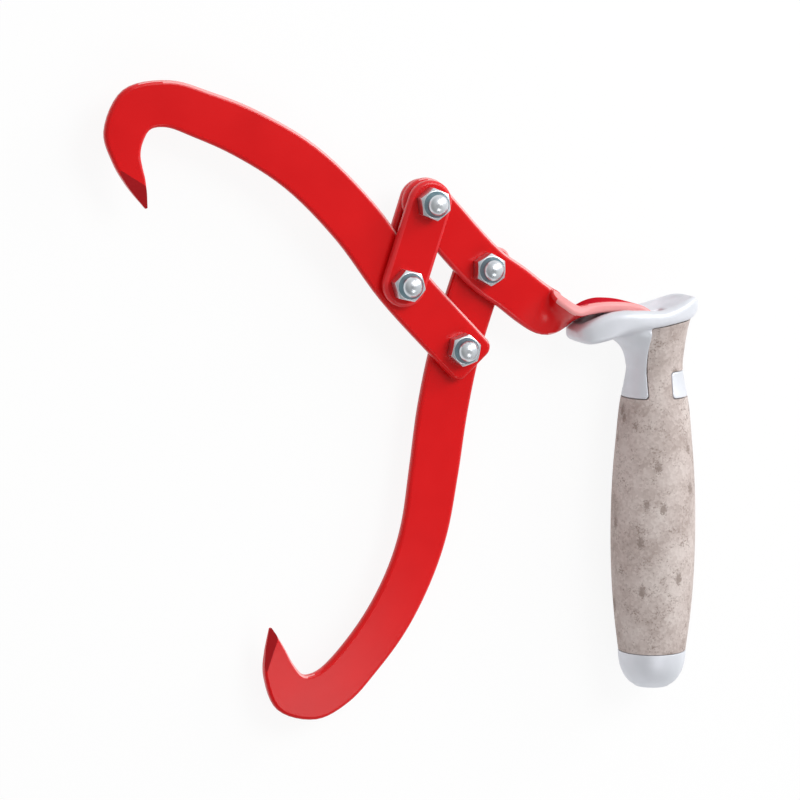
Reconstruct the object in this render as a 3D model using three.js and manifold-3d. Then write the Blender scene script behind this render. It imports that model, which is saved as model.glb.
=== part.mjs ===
// Log lifting tongs: two hooked jaws on a four-bar linkage, worked by a grip at the end of a twisted bar.
// The tool lies on its back, in millimetres: +Z toward the nuts, +Y along the grip toward the linkage,
// +X from the jaws toward the grip. Pivots: A handle bar and links, B upper jaw and links,
// C handle bar and lower jaw, D upper jaw and lower jaw.
import * as THREE from 'three';
import { mergeVertices } from 'three/addons/utils/BufferGeometryUtils.js';
import Module from 'manifold-3d';

const wasm = await Module();
wasm.setup();

// Linkage: pivot distances and the rest pose
const linkCentres = 38;
const armCentres = 42;
const linkLeanDegrees = 18.5;
const armSlopeDegrees = 47;

// Flat bars
const barThickness = 5;
const barChamfer = 1.2;
const platePlay = 0.3;
const linkWidth = 20.5;
const armWidth = 22;
const jawWidth = 24;
const jawEndOverhang = 11;
const jawEndCorner = 5;
const tipWidth = 1;
const tipThickness = 1.2;

// Reach of each hook from the pivot nearest to it
const upperReach = 127;
const upperRise = 82.5;
const lowerReach = 89;
const lowerDrop = 155.5;

// Bolts and dome lock nuts
const boltDiameter = 8;
const holePlay = 0.3;
const seatPlay = 0.1;
const hexAcrossFlats = 13;
const hexBevelHeight = 0.8;
const hexBevelRadius = 6.2;
const boltHeadHeight = 5.3;
const nutHexHeight = 6.5;
const collarRadius = 5.7;
const collarHeight = 2.6;
const collarRound = 0.7;
const domeRadius = 4.6;
const domeHeight = 4.4;
const domeWall = 0.8;
const insertRadius = 4.95;
const insertHeight = 2;
const insertPlay = 0.15;
const nutTurnDegrees = { A: 7, B: 16, C: 0, D: -12 };
const headTurnDegrees = 10;

// Handle bar beyond pivot C
const gripOffset = 84;
const barSettle = 56;
const tangWidth = 14;
const tangPlay = 0.3;

// Grip head: heights are measured down from pivot C
const saddleLength = 62;
const saddleRear = 20;
const saddleDepth = 36;
const saddleTop = 16;
const saddleHeight = 20;
const saddleRoundness = 2.6;
const dishLength = 44;
const dishWidth = 26;
const dishRim = 14;
const dishDrop = 9;
const pocketFront = 5;
const pocketRear = 6;
const pocketWidth = 15;
const pocketFloor = 37;
const coreRadius = 9.5;
const coreStep = 70;
const shaftRadius = 7;
const strapOffset = 8.2;
const strapTop = 31;
const windowOffset = 3;
const windowTop = 50;
const neckBottom = 62;
const seamCorner = 1.5;
const seamPlay = 0.3;

// Grip and end cap
const gripRadius = 19.6;
const gripTop = 26;
const gripBottom = 181;
const capRadius = 15.8;
const capLength = 17;
const capFlatRadius = 8;

// Hidden fixings
const pinRadius = 2;
const pinDrop = 43;
const pinBuried = 6;
const pinCover = 0.5;
const screwRadius = 2;
const screwHeadRadius = 3.6;
const screwHeadHeight = 2.4;
const screwLength = 22;
const screwRecess = 3.2;

// Facet counts
const stationSteps = 4;
const cornerSteps = 4;
const roundSteps = 20;
const gripSteps = 32;
const barSteps = 38;

const red = 0xd21f26;
const zinc = 0xc9ccd1;
const castGrey = 0xc3c7ce;
const cork = 0xcfc0b2;
const nylon = 0x5f86b8;
const steel = 0x8d9196;

// Places that follow from the sizes
const radians = THREE.MathUtils.degToRad;
const linkAngle = radians(-90 - linkLeanDegrees);
const armAngle = radians(-armSlopeDegrees);
const linkVector = new THREE.Vector2(Math.cos(linkAngle), Math.sin(linkAngle)).multiplyScalar(linkCentres);
const armVector = new THREE.Vector2(Math.cos(armAngle), Math.sin(armAngle)).multiplyScalar(armCentres);
const pivotC = new THREE.Vector2(0, 0);
const pivotA = pivotC.clone().sub(armVector);
const pivotB = pivotA.clone().add(linkVector);
const pivotD = pivotC.clone().add(linkVector);
const layerPitch = barThickness + platePlay;
const boltRadius = boltDiameter / 2;

// A closed geometry becomes a solid, and a solid becomes a geometry again
function solidOf(geometry) {
  const bare = geometry.clone();
  bare.deleteAttribute('normal');
  bare.deleteAttribute('uv');
  const merged = mergeVertices(bare);
  const vertProperties = new Float32Array(merged.attributes.position.array);
  const triVerts = new Uint32Array(merged.index.array);
  return new wasm.Manifold(new wasm.Mesh({ numProp: 3, vertProperties, triVerts }));
}

function geometryOf(solid) {
  const data = solid.getMesh();
  const geometry = new THREE.BufferGeometry();
  geometry.setAttribute('position', new THREE.BufferAttribute(new Float32Array(data.vertProperties), 3));
  geometry.setIndex(new THREE.BufferAttribute(new Uint32Array(data.triVerts), 1));
  const faceted = geometry.toNonIndexed();
  faceted.computeVertexNormals();
  return faceted;
}

function finish(name, geometry, color, roughness, metalness) {
  const mesh = new THREE.Mesh(geometry, new THREE.MeshStandardMaterial({ color, roughness, metalness }));
  mesh.name = name;
  return mesh;
}

const painted = (name, geometry) => finish(name, geometry, red, 0.3, 0);
const plated = (name, geometry) => finish(name, geometry, zinc, 0.25, 1);

// Rings of equal point count, joined into one closed skin: the last ring faces the way that endTriangles wind
function ringSolid(rings, endTriangles) {
  const count = rings[0].length;
  const last = (rings.length - 1) * count;
  const index = [];
  for (let low = 0; low < last; low += count) {
    const high = low + count;
    for (let step = 0; step < count; step += 1) {
      const next = (step + 1) % count;
      index.push(low + step, low + next, high + next);
      index.push(low + step, high + next, high + step);
    }
  }
  for (const [a, b, c] of endTriangles) {
    index.push(a, c, b);
    index.push(last + a, last + b, last + c);
  }
  const positions = rings.flat().flatMap((point) => [point.x, point.y, point.z]);
  const geometry = new THREE.BufferGeometry();
  geometry.setAttribute('position', new THREE.Float32BufferAttribute(positions, 3));
  geometry.setIndex(index);
  return solidOf(geometry);
}

// A loft through rings whose ends are convex, so a fan closes them
function loft(rings) {
  const fan = [];
  for (let step = 1; step < rings[0].length - 1; step += 1) {
    fan.push([0, step, step + 1]);
  }
  return ringSolid(rings, fan);
}

// A flat bar cut from plate with its edges broken: outlineAt(inset) runs anticlockwise round the bar
function barPlate(outlineAt) {
  const half = barThickness / 2;
  const levels = [[-half, barChamfer], [barChamfer - half, 0], [half - barChamfer, 0], [half, barChamfer]];
  const rings = levels.map(([z, inset]) => outlineAt(inset).map((p) => new THREE.Vector3(p.x, p.y, z)));
  return ringSolid(rings, THREE.ShapeUtils.triangulateShape(outlineAt(barChamfer), []));
}

// A turned piece about Z, from [radius, height] pairs that start and end on the axis
function turned(profile) {
  const points = profile.map(([radius, height]) => new THREE.Vector2(radius, height));
  return new THREE.LatheGeometry(points, roundSteps).rotateX(Math.PI / 2);
}

function drill(solid, pivot) {
  const radius = boltRadius + holePlay;
  const length = barThickness * 4;
  const cutter = new THREE.CylinderGeometry(radius, radius, length, roundSteps).rotateX(Math.PI / 2);
  return solid.subtract(solidOf(cutter.translate(pivot.x, pivot.y, 0)));
}

function arcPoints(centre, radius, from, to, steps) {
  const points = [];
  for (let step = 0; step <= steps; step += 1) {
    const angle = from + (to - from) * (step / steps);
    points.push(new THREE.Vector2(centre.x + radius * Math.cos(angle), centre.y + radius * Math.sin(angle)));
  }
  return points;
}

// Link: a straight bar with round ends about its two pivots
function link(from, to) {
  const along = to.clone().sub(from).angle();
  const outlineAt = (inset) => {
    const radius = linkWidth / 2 - inset;
    const quarter = Math.PI / 2;
    const far = arcPoints(to, radius, along - quarter, along + quarter, roundSteps / 2);
    const near = arcPoints(from, radius, along + quarter, along + 3 * quarter, roundSteps / 2);
    return [...far, ...near];
  };
  return drill(drill(barPlate(outlineAt), from), to);
}

// Jaw: stations along its middle line are [place, width share]; the edges are smooth curves past them
function jaw(root, first, stations) {
  const centres = [first, ...stations.map((station) => station.place)];
  const shares = [1, ...stations.map((station) => station.widthShare)];
  const axis = centres[1].clone().sub(first).normalize();
  const across = new THREE.Vector2(-axis.y, axis.x);
  const tangentAt = (i) => {
    const before = centres[Math.max(i - 1, 0)];
    const after = centres[Math.min(i + 1, centres.length - 1)];
    return after.clone().sub(before).normalize();
  };
  const sidePoints = (side, inset) => centres.map((centre, i) => {
    const tangent = tangentAt(i);
    const width = Math.max(jawWidth * shares[i], tipWidth);
    const edge = width / 2 - Math.min(inset, width / 4);
    return new THREE.Vector3(centre.x - side * tangent.y * edge, centre.y + side * tangent.x * edge, 0);
  });
  const sideCurve = (side, inset) => {
    const curve = new THREE.CatmullRomCurve3(sidePoints(side, inset), false, 'centripetal');
    const points = curve.getPoints(stationSteps * (centres.length - 1));
    return points.map((point) => new THREE.Vector2(point.x, point.y));
  };
  const outlineAt = (inset) => {
    const radius = jawEndCorner - inset;
    const reach = jawWidth / 2 - jawEndCorner;
    const corner = root.clone().addScaledVector(axis, jawEndCorner);
    const turn = axis.angle();
    const quarter = Math.PI / 2;
    const left = corner.clone().addScaledVector(across, reach);
    const right = corner.clone().addScaledVector(across, -reach);
    return [
      ...arcPoints(left, radius, turn + quarter, turn + 2 * quarter, cornerSteps),
      ...arcPoints(right, radius, turn + 2 * quarter, turn + 3 * quarter, cornerSteps),
      ...sideCurve(-1, inset),
      ...sideCurve(1, inset).reverse(),
    ];
  };
  return barPlate(outlineAt);
}

// A hook's two faces are ground down toward its tip, from the line across the hook between two places
function grindTip(solid, outer, inner, tip) {
  const toward = inner.clone().sub(outer).rotateAround(new THREE.Vector2(), Math.PI / 2).normalize();
  const run = tip.clone().sub(outer).dot(toward);
  const fall = Math.atan2((barThickness - tipThickness) / 2, Math.abs(run));
  const turn = toward.multiplyScalar(Math.sign(run)).angle() - Math.PI / 2;
  const size = jawWidth * 2;
  let ground = solid;
  for (const face of [1, -1]) {
    const wheel = new THREE.BoxGeometry(size, size, size).translate(0, 0, size / 2).rotateX(-fall);
    wheel.rotateY(face > 0 ? 0 : Math.PI).rotateZ(turn).translate(outer.x, outer.y, face * barThickness / 2);
    ground = ground.subtract(solidOf(wheel));
  }
  return ground;
}

// Middle line of the upper hook from pivot B: shares of its reach and rise, then of the jaw's width
const upperShares = [
  [-0.168, 0.343, 1],
  [-0.37, 0.648, 0.98],
  [-0.573, 0.839, 0.93],
  [-0.725, 0.939, 0.885],
  [-0.849, 1, 0.855],
  [-0.959, 0.972, 0.92],
  [-1.002, 0.828, 0.825],
  [-0.99, 0.715, 0.55],
  [-0.962, 0.585, 0.35],
  [-0.928, 0.45, 0],
];
const upperGrindShares = { outer: [-1.05, 0.685], inner: [-0.935, 0.573] };

function upperJaw() {
  const place = ([x, y]) => new THREE.Vector2(pivotB.x + x * upperReach, pivotB.y + y * upperRise);
  const beyond = pivotD.clone().sub(pivotB).setLength(jawEndOverhang);
  const stations = upperShares.map((share) => ({ place: place(share), widthShare: share[2] }));
  const body = jaw(pivotD.clone().add(beyond), pivotD, [{ place: pivotB, widthShare: 1 }, ...stations]);
  const tip = place(upperShares.at(-1));
  const ground = grindTip(body, place(upperGrindShares.outer), place(upperGrindShares.inner), tip);
  return drill(drill(ground, pivotB), pivotD);
}

// Middle line of the lower hook from pivot D, in the same way
const lowerShares = [
  [-0.072, 0.184, 1],
  [-0.118, 0.36, 0.98],
  [-0.172, 0.536, 0.935],
  [-0.253, 0.668, 0.9],
  [-0.375, 0.796, 0.885],
  [-0.521, 0.902, 0.86],
  [-0.653, 0.976, 0.87],
  [-0.769, 1.006, 0.885],
  [-0.895, 0.988, 0.82],
  [-0.956, 0.922, 0.61],
  [-0.978, 0.862, 0.385],
  [-0.999, 0.794, 0],
];
const lowerGrindShares = { outer: [-1.03, 0.93], inner: [-0.962, 0.819] };

function lowerJaw() {
  const place = ([x, y]) => new THREE.Vector2(pivotD.x + x * lowerReach, pivotD.y - y * lowerDrop);
  const beyond = pivotC.clone().sub(pivotD).setLength(jawEndOverhang);
  const stations = lowerShares.map((share) => ({ place: place(share), widthShare: share[2] }));
  const body = jaw(pivotC.clone().add(beyond), pivotC, [{ place: pivotD, widthShare: 1 }, ...stations]);
  const tip = place(lowerShares.at(-1));
  const ground = grindTip(body, place(lowerGrindShares.outer), place(lowerGrindShares.inner), tip);
  return drill(drill(ground, pivotC), pivotD);
}

// Middle line of the handle bar beyond pivot C, as shares of the grip's offset
const barPathShares = [
  [0.155, -0.118],
  [0.244, -0.181],
  [0.333, -0.229],
  [0.44, -0.257],
  [0.536, -0.246],
  [0.63, -0.229],
  [0.738, -0.226],
  [0.833, -0.241],
  [0.905, -0.279],
  [0.953, -0.335],
  [0.98, -0.4],
  [0.994, -0.48],
  [1, -0.58],
];
const twistStartShare = 0.2;
const tangStartShare = 0.9;

function handleBarSkin(play) {
  const places = barPathShares.map(([x, y]) => new THREE.Vector3(x * gripOffset, y * gripOffset, 0));
  const pivotPlaces = [pivotA, pivotC].map((pivot) => new THREE.Vector3(pivot.x, pivot.y, 0));
  const line = new THREE.CatmullRomCurve3([...pivotPlaces, ...places], false, 'centripetal');
  const sectionAt = (centre, tangent, halfWidth) => {
    const settled = THREE.MathUtils.smoothstep(centre.x, twistStartShare * gripOffset, barSettle);
    const twist = settled * Math.PI / 2;
    const normal = new THREE.Vector3(-tangent.y, tangent.x, 0);
    const front = new THREE.Vector3(0, 0, 1);
    const wide = normal.clone().multiplyScalar(Math.cos(twist)).addScaledVector(front, Math.sin(twist));
    const thick = front.clone().multiplyScalar(Math.cos(twist)).addScaledVector(normal, -Math.sin(twist));
    const w = halfWidth + play;
    const t = barThickness / 2 + play;
    const c = barChamfer;
    const upper = [[w, t - c], [w - c, t], [c - w, t], [-w, t - c]];
    const lower = upper.map(([across, through]) => [-across, -through]);
    const corners = [...upper, ...lower];
    return corners.map(([across, through]) => (
      centre.clone().addScaledVector(wide, across).addScaledVector(thick, through)));
  };
  const rings = [];
  const start = line.getTangentAt(0);
  const endRadius = armWidth / 2;
  for (let step = 1; step <= cornerSteps * 2; step += 1) {
    const angle = (step / (cornerSteps * 2)) * Math.PI / 2;
    const centre = line.getPointAt(0).addScaledVector(start, -endRadius * Math.cos(angle));
    rings.push(sectionAt(centre, start, endRadius * Math.sin(angle)));
  }
  for (let step = 1; step <= barSteps; step += 1) {
    const centre = line.getPointAt(step / barSteps);
    const tapered = THREE.MathUtils.smoothstep(centre.x, tangStartShare * gripOffset, gripOffset);
    const width = THREE.MathUtils.lerp(armWidth, tangWidth, tapered);
    rings.push(sectionAt(centre, line.getTangentAt(step / barSteps), width / 2));
  }
  return loft(rings);
}

function handleBar() {
  const flat = drill(drill(handleBarSkin(0), pivotA), pivotC);
  return flat.subtract(tangPinSolid(holePlay));
}

// Hexagon with its outer corners turned down, standing on z = 0
function hexPrism(height, turnDegrees) {
  const cornerRadius = hexAcrossFlats / Math.sqrt(3);
  const prism = new THREE.CylinderGeometry(cornerRadius, cornerRadius, height, 6).rotateX(Math.PI / 2);
  prism.rotateZ(radians(turnDegrees)).translate(0, 0, height / 2);
  const skirt = hexAcrossFlats;
  const slope = (skirt - hexBevelRadius) * hexBevelHeight / (cornerRadius - hexBevelRadius);
  const cone = turned([
    [0, -skirt], [skirt, -skirt], [skirt, height - slope], [hexBevelRadius, height], [0, height],
  ]);
  return solidOf(prism).intersect(solidOf(cone));
}

const boltEnd = nutHexHeight + collarHeight - collarRound;

function hexBolt(name, pivot, front) {
  const back = -layerPitch - barThickness / 2 - seatPlay;
  const shankTop = front + seatPlay + boltEnd;
  const chamfer = boltRadius / 5;
  const shank = turned([
    [0, back - boltHeadHeight / 2], [boltRadius, back - boltHeadHeight / 2],
    [boltRadius, shankTop - chamfer], [boltRadius - chamfer, shankTop], [0, shankTop],
  ]);
  const head = hexPrism(boltHeadHeight, headTurnDegrees).rotate([180, 0, 0]);
  const bolt = head.translate([0, 0, back]).add(solidOf(shank)).translate([pivot.x, pivot.y, 0]);
  return plated(name, geometryOf(bolt));
}

function domeNut(name, pivot, front, turnDegrees) {
  const collarTop = nutHexHeight + collarHeight;
  const groove = collarTop - collarRound - insertHeight;
  const bore = boltRadius + holePlay;
  const roof = collarTop + domeHeight;
  const dome = arcPoints(new THREE.Vector2(0, 0), 1, 0, Math.PI / 2, cornerSteps)
    .map((point) => [point.x * domeRadius, collarTop + point.y * domeHeight]);
  const hollow = arcPoints(new THREE.Vector2(0, 0), 1, 0, Math.PI / 2, cornerSteps)
    .map((point) => [point.x * (domeRadius - domeWall), collarTop + point.y * (domeHeight - domeWall)]);
  dome.at(-1)[0] = 0;
  hollow.at(-1)[0] = 0;
  const outer = turned([
    [0, nutHexHeight / 2], [collarRadius, nutHexHeight / 2], [collarRadius, collarTop - collarRound],
    [collarRadius - collarRound, collarTop], ...dome,
  ]);
  const inner = turned([
    [0, -roof], [bore, -roof], [bore, groove], [insertRadius, groove], [insertRadius, groove + insertHeight],
    [domeRadius - domeWall, collarTop], ...hollow.slice(1),
  ]);
  const nut = hexPrism(nutHexHeight, turnDegrees).add(solidOf(outer)).subtract(solidOf(inner));
  return plated(name, geometryOf(nut.translate([pivot.x, pivot.y, front + seatPlay])));
}

function nylonInsert(name, pivot, front) {
  const groove = nutHexHeight + collarHeight - collarRound - insertHeight;
  const inner = boltRadius + insertPlay;
  const outer = insertRadius - insertPlay;
  const low = groove + insertPlay;
  const high = groove + insertHeight - insertPlay;
  const ring = turned([[inner, low], [outer, low], [outer, high], [inner, high], [inner, low]]);
  ring.translate(pivot.x, pivot.y, front + seatPlay);
  return finish(name, ring, nylon, 0.5, 0);
}

// A block cut square through the head, with rounded corners as seen from the front
function seamBlock(left, right, bottom, top) {
  const shape = new THREE.Shape();
  shape.moveTo(left + seamCorner, bottom);
  shape.lineTo(right - seamCorner, bottom);
  shape.quadraticCurveTo(right, bottom, right, bottom + seamCorner);
  shape.lineTo(right, top - seamCorner);
  shape.quadraticCurveTo(right, top, right - seamCorner, top);
  shape.lineTo(left + seamCorner, top);
  shape.quadraticCurveTo(left, top, left, top - seamCorner);
  shape.lineTo(left, bottom + seamCorner);
  shape.quadraticCurveTo(left, bottom, left + seamCorner, bottom);
  const depth = gripRadius * 3;
  const block = new THREE.ExtrudeGeometry(shape, { depth, bevelEnabled: false, curveSegments: cornerSteps });
  return solidOf(block.translate(gripOffset, 0, -depth / 2));
}

// A turned piece about the grip's axis, from [radius, drop] pairs that start and end on the axis
function gripTurned(profile) {
  const points = profile.map(([radius, drop]) => new THREE.Vector2(radius, -drop)).reverse();
  return solidOf(new THREE.LatheGeometry(points, gripSteps).translate(gripOffset, 0, 0));
}

// Radius of the grip, as [share of its length, share of its largest radius]
const gripShares = [
  [0, 0.84], [0.032, 0.775], [0.058, 0.738], [0.097, 0.694], [0.142, 0.663], [0.187, 0.71], [0.232, 0.782],
  [0.27, 0.829], [0.361, 0.896], [0.452, 0.956], [0.542, 0.99], [0.632, 1], [0.722, 0.99], [0.813, 0.956],
  [0.903, 0.896], [1, 0.8],
];

function gripOutside() {
  const length = gripBottom - gripTop;
  const side = gripShares.map(([along, wide]) => [wide * gripRadius, gripTop + along * length]);
  return gripTurned([[0, gripTop], ...side, [0, gripBottom]]);
}

// The strap flares into the saddle: [share of its height, half length and half depth as shares of gripRadius]
const flareShares = [
  [0, 1.22, 0.8], [0.08, 1.1, 0.79], [0.16, 0.94, 0.76], [0.26, 0.8, 0.73], [0.37, 0.71, 0.69],
  [0.55, 0.663, 0.663],
];

function flareOutside() {
  const height = neckBottom - strapTop;
  const rings = flareShares.map(([down, long, deep]) => {
    const round = arcPoints(new THREE.Vector2(0, 0), gripRadius, 0, 2 * Math.PI, gripSteps).slice(1);
    const level = -strapTop - down * height;
    return round.map((point) => new THREE.Vector3(gripOffset + point.y * long, level, point.x * deep));
  });
  return loft(rings.reverse());
}

// Saddle sections along X: [place, top, bottom, half depth] as shares of its length, height and half depth
const saddleShares = [
  [0, 0.725, 0.83, 0.28],
  [0.03, 0.64, 0.94, 0.5],
  [0.09, 0.54, 1, 0.66],
  [0.2, 0.375, 0.98, 0.8],
  [0.32, 0.24, 0.95, 0.9],
  [0.48, 0.215, 0.85, 1],
  [0.63, 0.24, 0.725, 1],
  [0.77, 0.15, 0.625, 0.92],
  [0.88, 0.03, 0.525, 0.75],
  [0.955, 0, 0.4, 0.5],
  [1, 0.125, 0.275, 0.2],
];

function saddle() {
  const tip = gripOffset + saddleRear - saddleLength;
  const power = 2 / saddleRoundness;
  const rings = saddleShares.map(([along, top, bottom, wide]) => {
    const middle = -saddleTop - saddleHeight * (top + bottom) / 2;
    const rise = saddleHeight * (bottom - top) / 2;
    const reach = saddleDepth * wide / 2;
    return arcPoints(new THREE.Vector2(0, 0), 1, 0, 2 * Math.PI, roundSteps).slice(1).map((point) => {
      const up = Math.sign(point.x) * Math.abs(point.x) ** power * rise;
      const out = Math.sign(point.y) * Math.abs(point.y) ** power * reach;
      return new THREE.Vector3(tip + along * saddleLength, middle + up, out);
    });
  });
  return loft(rings);
}

function tangPinSolid(play) {
  const length = pinBuried + coreRadius - pinCover + 2 * play;
  const radius = pinRadius + play;
  const pin = new THREE.CylinderGeometry(radius, radius, length, roundSteps / 2).rotateZ(Math.PI / 2);
  return solidOf(pin.translate(gripOffset - pinBuried - play + length / 2, -pinDrop, 0));
}

function capScrewSolid(play) {
  const seat = gripBottom + capLength - screwRecess;
  const start = seat - screwLength - play;
  const end = seat + screwHeadHeight + play;
  return gripTurned([
    [0, start], [screwRadius + play, start], [screwRadius + play, seat - play],
    [screwHeadRadius + play, seat - play], [screwHeadRadius + play, end], [0, end],
  ]);
}

function strapBlock(play) {
  return seamBlock(-gripRadius * 2, play - strapOffset, -neckBottom - play, saddleTop - strapTop);
}

function windowBlock(play) {
  return seamBlock(windowOffset - play, gripRadius * 2, -neckBottom - play, play - windowTop);
}

function handleHead() {
  const outside = gripOutside();
  const core = gripTurned([
    [0, saddleTop + saddleHeight / 2], [coreRadius, saddleTop + saddleHeight / 2], [coreRadius, coreStep],
    [shaftRadius, coreStep + coreRadius], [shaftRadius, gripBottom - seamPlay], [0, gripBottom - seamPlay],
  ]);
  const strap = outside.add(flareOutside()).intersect(strapBlock(0));
  const window = outside.intersect(windowBlock(0));
  const dish = new THREE.SphereGeometry(1, roundSteps, roundSteps / 2);
  dish.scale(dishLength / 2, dishDrop, dishWidth / 2).translate(gripOffset, -dishRim, 0);
  const pocket = new THREE.BoxGeometry(pocketFront + pocketRear, pocketFloor, pocketWidth);
  pocket.translate(gripOffset + (pocketRear - pocketFront) / 2, -pocketFloor / 2, 0);
  return saddle().add(core).add(strap).add(window)
    .subtract(solidOf(dish))
    .subtract(solidOf(pocket))
    .subtract(handleBarSkin(tangPlay))
    .subtract(tangPinSolid(holePlay))
    .subtract(capScrewSolid(holePlay));
}

function gripSleeve() {
  const top = gripTop - seamPlay;
  const bore = gripTurned([
    [0, top], [coreRadius + seamPlay, top], [coreRadius + seamPlay, coreStep],
    [shaftRadius + seamPlay, coreStep + coreRadius], [shaftRadius + seamPlay, gripBottom + seamPlay],
    [0, gripBottom + seamPlay],
  ]);
  const flange = saddle();
  return gripOutside().subtract(bore)
    .subtract(strapBlock(seamPlay))
    .subtract(windowBlock(seamPlay))
    .subtract(flange)
    .subtract(flange.translate([0, -seamPlay, 0]));
}

// Radius of the end cap, as [share of its length, share of its largest radius]
const capShares = [[0, 1], [0.17, 0.99], [0.4, 0.95], [0.62, 0.87], [0.84, 0.72]];

function endCap() {
  const top = gripBottom + seamPlay;
  const bottom = gripBottom + capLength;
  const side = capShares.map(([down, wide]) => [wide * capRadius, top + down * (bottom - top)]);
  const recess = gripTurned([
    [0, bottom - screwRecess], [screwHeadRadius + holePlay, bottom - screwRecess],
    [screwHeadRadius + holePlay, bottom + holePlay], [0, bottom + holePlay],
  ]);
  const body = gripTurned([[0, top], ...side, [capFlatRadius, bottom], [0, bottom]]);
  return body.subtract(recess).subtract(capScrewSolid(holePlay));
}

const twoPlates = barThickness / 2;
const threePlates = layerPitch + barThickness / 2;
const tongs = new THREE.Group();
const tieBar = link(pivotA, pivotB);
tongs.add(
  painted('upper_jaw', geometryOf(upperJaw())),
  painted('lower_jaw', geometryOf(lowerJaw().translate([0, 0, -layerPitch]))),
  painted('handle_bar', geometryOf(handleBar())),
  painted('front_link', geometryOf(tieBar.translate([0, 0, layerPitch]))),
  painted('back_link', geometryOf(tieBar.translate([0, 0, -layerPitch]))),
  finish('handle_head', geometryOf(handleHead()), castGrey, 0.45, 0.6),
  finish('grip', geometryOf(gripSleeve()), cork, 0.85, 0),
  finish('end_cap', geometryOf(endCap()), castGrey, 0.45, 0.6),
  finish('tang_pin', geometryOf(tangPinSolid(0)), steel, 0.4, 1),
  finish('cap_screw', geometryOf(capScrewSolid(0)), steel, 0.4, 1),
);
const pivots = {
  A: [pivotA, threePlates],
  B: [pivotB, threePlates],
  C: [pivotC, twoPlates],
  D: [pivotD, twoPlates],
};
for (const [letter, [pivot, top]] of Object.entries(pivots)) {
  const label = letter.toLowerCase();
  tongs.add(hexBolt(`pivot_bolt_${label}`, pivot, top));
  tongs.add(domeNut(`dome_nut_${label}`, pivot, top, nutTurnDegrees[letter]));
  tongs.add(nylonInsert(`nylon_insert_${label}`, pivot, top));
}

// The frame's origin lies under the middle of the tool, on the plane that its back touches
tongs.updateMatrixWorld(true);
const extent = new THREE.Box3().setFromObject(tongs);
const middle = extent.getCenter(new THREE.Vector3());
tongs.position.set(-middle.x, -middle.y, -extent.min.z);
tongs.updateMatrixWorld(true);

export default tongs;
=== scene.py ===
# %% [markdown]
# Log lifting tongs. Two hooked steel jaws hang on four pivots, so that lifting the grip makes the hooks bite.
# The construction comes first as a fixed frame, at its real size and in metres. Each piece made below goes
# where the frame says, so nothing has to be fitted afterwards. The finished tool must stay in it.

# %% Load the frame
import math

import bmesh
import bpy
from mathutils import Matrix, Vector


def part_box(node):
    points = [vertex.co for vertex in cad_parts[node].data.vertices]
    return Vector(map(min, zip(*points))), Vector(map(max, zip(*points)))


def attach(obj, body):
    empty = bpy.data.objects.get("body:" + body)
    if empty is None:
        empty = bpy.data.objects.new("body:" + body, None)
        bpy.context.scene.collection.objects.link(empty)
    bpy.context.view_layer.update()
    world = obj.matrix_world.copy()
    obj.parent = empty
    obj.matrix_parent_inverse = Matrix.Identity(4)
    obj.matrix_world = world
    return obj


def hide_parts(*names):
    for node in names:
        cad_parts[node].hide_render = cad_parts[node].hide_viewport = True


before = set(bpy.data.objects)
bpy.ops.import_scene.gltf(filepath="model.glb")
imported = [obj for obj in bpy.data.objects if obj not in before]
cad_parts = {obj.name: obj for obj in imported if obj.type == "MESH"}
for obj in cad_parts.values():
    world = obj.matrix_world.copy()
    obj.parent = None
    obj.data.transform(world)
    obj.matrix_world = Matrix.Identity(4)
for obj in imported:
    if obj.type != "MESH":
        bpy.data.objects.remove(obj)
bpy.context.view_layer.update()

# %% [markdown]
# Everything hangs on the four pivots, so their places are read from the bolts of the frame. The bars and links
# lie in three layers of plate, and the upper jaw gives the plane of the middle one. The grip's axis runs
# through the middle of its end cap.

# %% Places read from the frame
mm = 0.001


def middle_of(node):
    low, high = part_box(node)
    return (low + high) / 2


middle_z = middle_of("upper_jaw").z
pivots = {}
for letter in "ABCD":
    place = middle_of("pivot_bolt_" + letter.lower())
    pivots[letter] = Vector((place.x, place.y, middle_z))
grip_axis_x = middle_of("end_cap").x
layer_pitch = middle_of("front_link").z - middle_z
print("Pivots in mm:", {letter: [round(side / mm, 1) for side in place] for letter, place in pivots.items()})

# %% [markdown]
# The same few moves come again and again at the bench: put one piece alone on it, take hold of some of its
# corners or edges, and finish it with a modifier. A primitive is set down at its size and place, and its place
# then goes into its mesh, so that the piece's own origin stays at the origin of the tool.

# %% Helpers for handling one piece at a time
def alone(piece):
    """Deselects everything, then selects this piece and makes it active."""
    bpy.ops.object.select_all(action="DESELECT")
    piece.select_set(True)
    bpy.context.view_layer.objects.active = piece


def settle(name):
    """Names the piece that was just added, and puts its place into its mesh."""
    piece = bpy.context.object
    piece.name = name
    piece.data.name = name
    alone(piece)
    bpy.ops.object.transform_apply(location=True, rotation=True, scale=True)
    return piece


def set_down(name, add, **places):
    """Adds a primitive by its operator while nothing else is selected, and settles it."""
    bpy.ops.object.select_all(action="DESELECT")
    add(**places)
    return settle(name)


def edit(piece):
    alone(piece)
    bpy.ops.object.mode_set(mode="EDIT")
    bpy.ops.mesh.select_all(action="SELECT")


def leave_edit():
    bpy.ops.object.mode_set(mode="OBJECT")


def pick(kind, wanted):
    """In edit mode, selects the corners, edges or faces for which wanted is true, and counts them."""
    bpy.ops.mesh.select_mode(type=kind)
    bpy.ops.mesh.select_all(action="DESELECT")
    mesh = bmesh.from_edit_mesh(bpy.context.object.data)
    mesh.normal_update()
    elements = {"VERT": mesh.verts, "EDGE": mesh.edges, "FACE": mesh.faces}[kind]
    found = [element for element in elements if wanted(element)]
    for element in found:
        element.select_set(True)
    mesh.select_flush_mode()
    bmesh.update_edit_mesh(bpy.context.object.data)
    return len(found)


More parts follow.
